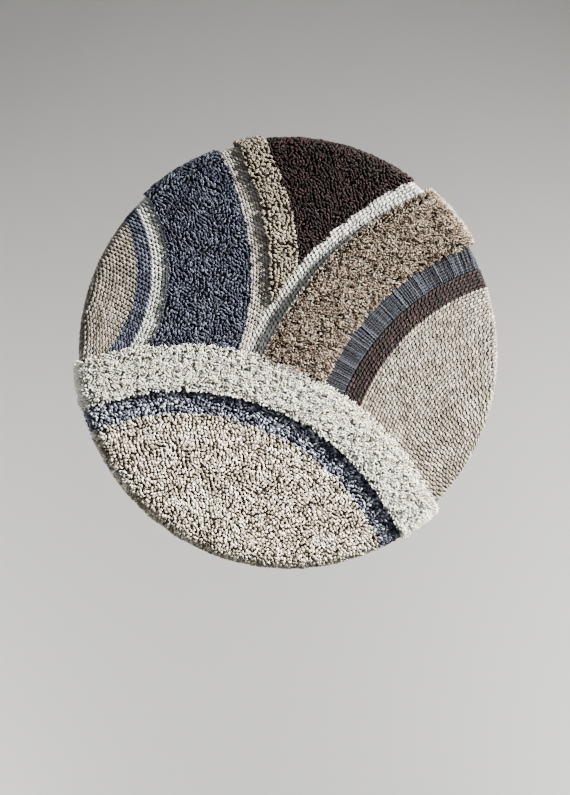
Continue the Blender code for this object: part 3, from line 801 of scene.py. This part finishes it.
def clothProfile():
    # (radius, y, developed radius) of the cloth's outer face, from the front's middle to the hem
    outside, edge, rear = board["clothOutside"], board["edgeRound"], groundCloth["rearRound"]
    rows = [(0.06, -board["thickness"] - outside, 0.06), (0.15, -board["thickness"] - outside, 0.15)]
    for step in range(groundCloth["frontSteps"] + 1):
        turn = math.pi / 2 * step / groundCloth["frontSteps"]
        rows.append((flatRadius + (edge + outside) * math.sin(turn),
                     -(board["thickness"] - edge) - (edge + outside) * math.cos(turn),
                     flatRadius + (edge + outside) * turn))
    developed = rows[-1][2] + board["thickness"] - edge - rear
    for step in range(groundCloth["rearSteps"] + 1):
        turn = math.pi / 2 * step / groundCloth["rearSteps"]
        rows.append((board["radius"] - rear + (rear + outside) * math.cos(turn),
                     -rear + (rear + outside) * math.sin(turn), developed + (rear + outside) * turn))
    developed = rows[-1][2]
    for share in (0.15, 0.4, 0.7, 1.0):
        width = (groundCloth["hem"] - rear) * share
        rows.append((board["radius"] - rear - width, outside, developed + width))
    return rows


def makeGroundCloth():
    deselectAll()
    rows = clothProfile()
    radius, y, _ = rows[0]
    middle = board["middle"]
    bpy.ops.mesh.primitive_circle_add(
        vertices=groundCloth["spokes"], radius=radius, fill_type="TRIFAN",
        location=middle + (0.0, y, 0.0), rotation=(math.pi / 2, 0.0, 0.0))
    cloth = bpy.context.object
    cloth.name = "ground_cloth_drawn"
    bpy.ops.object.transform_apply(location=True, rotation=True, scale=True)
    bpy.ops.object.mode_set(mode="EDIT")
    bpy.ops.mesh.select_all(action="SELECT")
    bpy.ops.mesh.region_to_loop()
    for (oldRadius, oldY, _), (newRadius, newY, _) in zip(rows, rows[1:]):
        bpy.ops.mesh.extrude_region_move(TRANSFORM_OT_translate={"value": (0.0, newY - oldY, 0.0)})
        scale = newRadius / oldRadius
        bpy.ops.transform.resize(value=(scale, 1.0, scale), center_override=tuple(middle))
    bpy.ops.mesh.select_all(action="SELECT")
    bpy.ops.mesh.normals_make_consistent(inside=False)
    bpy.ops.object.mode_set(mode="OBJECT")

    mesh = cloth.data
    points = np.zeros(len(mesh.vertices) * 3)
    mesh.vertices.foreach_get("co", points)
    points = points.reshape(-1, 3) - middle
    across = np.hypot(points[:, 0], points[:, 2])
    around = np.arctan2(points[:, 2], points[:, 0])
    onBack = points[:, 1] > board["clothOutside"] * 0.99
    inward = np.clip((board["radius"] - across) / groundCloth["hem"], 0, 1) * onBack
    gather = np.sin(around * groundCloth["pleats"] + 1.1 * np.sin(around * 5)) * 0.5 + 0.5
    points[:, 1] -= 0.0002 * inward
    points[:, 1] += groundCloth["pleatHeight"] * inward ** 1.2 * (gather ** 3 - 0.25)
    ragged = 0.0012 * np.sin(around * 23) * np.sin(around * 7 + 1) * (inward > 0.93)
    points[:, 0] += np.cos(around) * ragged
    points[:, 2] += np.sin(around) * ragged
    mesh.vertices.foreach_set("co", (points + middle).reshape(-1))

    # where each point lay on the flat cloth, for its weave
    rowRadii = np.array([row[0] for row in rows])
    rowY = np.array([row[1] for row in rows])
    flatRow = np.array([row[2] for row in rows])
    nearest = (np.abs(across[:, None] - rowRadii) + np.abs(points[:, 1:2] - rowY)).argmin(1)
    developed = np.where(across < rowRadii[0] * 0.5, 0.0, flatRow[nearest])
    cut = np.stack((np.cos(around) * developed, np.sin(around) * developed, developed * 0), -1)
    layer = mesh.attributes.new("cut", "FLOAT_VECTOR", "POINT")
    layer.data.foreach_set("vector", cut.astype(np.float32).reshape(-1))
    mesh.update()

    solid = cloth.modifiers.new("thickness", "SOLIDIFY")
    solid.thickness = groundCloth["thickness"]
    solid.offset = -1.0
    deselectAll()
    cloth.select_set(True)
    bpy.context.view_layer.objects.active = cloth
    bpy.ops.object.modifier_apply(modifier=solid.name)
    bpy.ops.object.shade_smooth()
    mesh.materials.append(clothMaterial())
    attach(cloth, "root")
    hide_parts("ground_cloth")
    return cloth


def clothMaterial():
    # Unbleached cotton in a plain weave of thick soft threads: matt, oatmeal, with dark pinholes
    material, tree, shader = newMaterial("unbleached cotton plain weave")
    cut = addNode(tree, "ShaderNodeAttribute", {"attribute_name": "cut"})
    wobble = addNode(tree, "ShaderNodeTexNoise", {"Scale": 90.0, "Detail": 2.0},
                     {"Vector": cut.outputs["Vector"]})
    moved = addNode(tree, "ShaderNodeVectorMath", {"operation": "MULTIPLY_ADD", 1: (0.0012, 0.0012, 0.0)},
                    {0: wobble.outputs["Color"], 2: cut.outputs["Vector"]})
    split = addNode(tree, "ShaderNodeSeparateXYZ", None, {0: moved.outputs[0]})
    waves = []
    for axis in (0, 1):
        threads = {"operation": "MULTIPLY", 1: math.pi / groundCloth["threadGap"]}
        turn = addNode(tree, "ShaderNodeMath", threads, {0: split.outputs[axis]})
        waves.append(addNode(tree, "ShaderNodeMath", {"operation": "SINE"}, {0: turn.outputs[0]}))
    # the product is high where one thread lies over, low where the other does; its size gives the holes
    overUnder = addNode(tree, "ShaderNodeMath", {"operation": "MULTIPLY"},
                        {0: waves[0].outputs[0], 1: waves[1].outputs[0]})
    size = addNode(tree, "ShaderNodeMath", {"operation": "ABSOLUTE"}, {0: overUnder.outputs[0]})
    relief = addNode(tree, "ShaderNodeMath", {"operation": "POWER", 1: 0.45}, {0: size.outputs[0]})
    colour = addNode(tree, "ShaderNodeValToRGB", None, {"Fac": relief.outputs[0]})
    setRamp(colour, ((0.0, "#5b4c3b"), (0.35, "#a08d72"), (0.9, "#c3b294")))
    bump = addNode(tree, "ShaderNodeBump", {"Strength": 0.8, "Distance": 0.0005},
                   {"Height": relief.outputs[0]})
    tree.links.new(colour.outputs["Color"], shader.inputs["Base Color"])
    tree.links.new(bump.outputs["Normal"], shader.inputs["Normal"])
    shader.inputs["Roughness"].default_value = 0.9
    shader.inputs["Sheen Weight"].default_value = 0.2
    return material


# The board: bare plywood, which shows only from behind

plywood = {"ringGap": 0.009, "pore": 0.0011, "stretch": 0.12}


def boardMaterial():
    # Sanded birch plywood: pale, satin-matt, with long soft figure and short fine pores
    material, tree, shader = newMaterial("sanded birch plywood")
    place = addNode(tree, "ShaderNodeTexCoord")
    drawn = addNode(tree, "ShaderNodeMapping", {"Scale": (1.0, 1.0, plywood["stretch"])},
                    {"Vector": place.outputs["Object"]})
    figure = addNode(tree, "ShaderNodeTexNoise",
                     {"Scale": 0.3 / plywood["ringGap"], "Detail": 5.0, "Distortion": 1.4},
                     {"Vector": drawn.outputs[0]})
    pores = addNode(tree, "ShaderNodeTexNoise", {"Scale": 1 / plywood["pore"], "Detail": 2.0},
                    {"Vector": drawn.outputs[0]})
    both = addNode(tree, "ShaderNodeMath", {"operation": "MULTIPLY_ADD", 1: 0.42},
                   {0: pores.outputs["Fac"], 2: figure.outputs["Fac"]})
    colour = addNode(tree, "ShaderNodeValToRGB", None, {"Fac": both.outputs[0]})
    setRamp(colour, ((0.45, "#a98456"), (0.68, "#c9a676"), (0.90, "#dcc196")))
    bump = addNode(tree, "ShaderNodeBump", {"Strength": 0.25, "Distance": 0.0003},
                   {"Height": pores.outputs["Fac"]})
    tree.links.new(colour.outputs["Color"], shader.inputs["Base Color"])
    tree.links.new(bump.outputs["Normal"], shader.inputs["Normal"])
    shader.inputs["Roughness"].default_value = 0.55
    return material


# Floor and backdrop in one pale sweep, far enough behind to walk round the piece

studio = {
    "behind": 3.4, "before": 26.0, "below": 1.3, "wide": 44.0, "high": 7.0,
    "curve": 1.2, "curveSteps": 12,
    "colour": "#969592",
    "sky": "#dfe3e8", "skyLight": 0.18,
    "skySeen": 0.42,           # what the camera sees past the sweep's edges, over that light
}


def makeStudio(middle):
    deselectAll()
    wide = studio["wide"]
    bpy.ops.mesh.primitive_plane_add(size=1.0, location=(0.0, 0.0, middle[2] - studio["below"]))
    sweep = bpy.context.object
    sweep.name = "studio_sweep"
    sweep.scale = (wide, studio["behind"] + studio["before"], 1.0)
    sweep.location.y = (studio["behind"] - studio["before"]) / 2
    bpy.ops.object.transform_apply(location=True, rotation=True, scale=True)
    bpy.ops.object.mode_set(mode="EDIT")
    bpy.ops.mesh.select_all(action="DESELECT")
    bpy.ops.object.mode_set(mode="OBJECT")
    farEdge = max(v.co.y for v in sweep.data.vertices)
    for vertex in sweep.data.vertices:
        vertex.select = vertex.co.y > farEdge - 0.01
    for edge in sweep.data.edges:
        edge.select = all(sweep.data.vertices[i].select for i in edge.vertices)
    bpy.ops.object.mode_set(mode="EDIT")
    bpy.ops.mesh.extrude_region_move(TRANSFORM_OT_translate={"value": (0.0, 0.0, studio["high"])})
    bpy.ops.object.mode_set(mode="OBJECT")
    fold = sweep.modifiers.new("curve", "BEVEL")
    fold.width = studio["curve"]
    fold.segments = studio["curveSteps"]
    deselectAll()
    sweep.select_set(True)
    bpy.context.view_layer.objects.active = sweep
    bpy.ops.object.modifier_apply(modifier=fold.name)
    bpy.ops.object.shade_smooth()
    paint, _, shader = newMaterial("matt backdrop paint")
    shader.inputs["Base Color"].default_value = linearColour(studio["colour"])
    shader.inputs["Roughness"].default_value = 0.95
    sweep.data.materials.append(paint)


lights = [
    # place from the middle of the piece, what it shines on, size, power and colour
    # the window is a spot, so that its light falls off towards the top left as in the photo
    {"name": "window", "kind": "SPOT", "from": (1.70, -0.95, 0.95), "to": (0.15, 0.0, -0.22),
     "size": 0.26, "cone": 40.0, "power": 2880.0, "colour": "#fffaf2"},
    {"name": "room", "kind": "AREA", "from": (-0.9, -2.2, 0.4), "to": (0.0, 0.0, 0.0),
     "size": 2.2, "power": 13.0, "colour": "#f2f5ff"},
    {"name": "backdrop wash", "kind": "AREA", "from": (2.2, 1.5, -0.15), "to": (1.2, 2.9, -1.8),
     "size": 1.0, "power": 192.0, "colour": "#ffffff"},
    {"name": "backdrop low left", "kind": "AREA", "from": (-1.2, 1.7, -0.7), "to": (-0.9, 2.9, -1.6),
     "size": 0.9, "power": 106.0, "colour": "#ffffff"},
    {"name": "low bounce", "kind": "AREA", "from": (-1.2, 0.7, -0.9), "to": (0.0, 0.0, 0.0),
     "size": 1.4, "power": 12.0, "colour": "#fff6ea"},
    {"name": "floor wash", "kind": "AREA", "from": (0.0, -9.0, 6.0), "to": (0.0, -9.0, -1.3),
     "size": 8.0, "power": 480.0, "colour": "#ffffff"},
    {"name": "behind", "kind": "AREA", "from": (-1.6, 2.0, 1.4), "to": (0.0, 0.0, 0.0),
     "size": 2.0, "power": 60.0, "colour": "#ffffff"},
]


def lightStudio(middle):
    for light in lights:
        place = middle + light["from"]
        bpy.ops.object.light_add(type=light["kind"], location=place)
        lamp = bpy.context.object
        lamp.name = light["name"]
        towards = lamp.location.copy()
        towards.xyz = middle + light["to"] - place
        lamp.rotation_euler = towards.to_track_quat("-Z", "Y").to_euler()
        if light["kind"] == "SPOT":
            lamp.data.shadow_soft_size = light["size"]
            lamp.data.spot_size = math.radians(light["cone"])
            lamp.data.spot_blend = 1.0
        else:
            lamp.data.size = light["size"]
        lamp.data.energy = light["power"]
        lamp.data.color = linearColour(light["colour"])[:3]
    world = bpy.data.worlds.new("studio")
    bpy.context.scene.world = world
    world.use_nodes = True
    sky = world.node_tree.nodes["Background"]
    sky.inputs["Color"].default_value = linearColour(studio["sky"])
    # past the sweep's edges the room looks paler than the light it gives
    seen = addNode(world.node_tree, "ShaderNodeLightPath")
    strength = addNode(world.node_tree, "ShaderNodeMath",
                       {"operation": "MULTIPLY_ADD", 1: studio["skySeen"], 2: studio["skyLight"]},
                       {0: seen.outputs["Is Camera Ray"]})
    world.node_tree.links.new(strength.outputs[0], sky.inputs["Strength"])


deselectAll()
faceMiddle = board["middle"] - (0.0, board["thickness"], 0.0)
placeCamera(faceMiddle)
report("camera placed")
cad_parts["board"].data.materials.clear()
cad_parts["board"].data.materials.append(boardMaterial())
makeGroundCloth()
report("ground cloth drawn over the board")
worked = 0
for fieldMade in fields:
    yarnPiece = makeField(fieldMade)
    triangles = sum(len(p.vertices) - 2 for p in yarnPiece.data.polygons)
    worked += triangles
    report(f"{fieldMade['node']} worked, {triangles} triangles")
report(f"{worked} triangles of yarn in all")
makeStudio(faceMiddle)
lightStudio(faceMiddle)
report("studio lit")
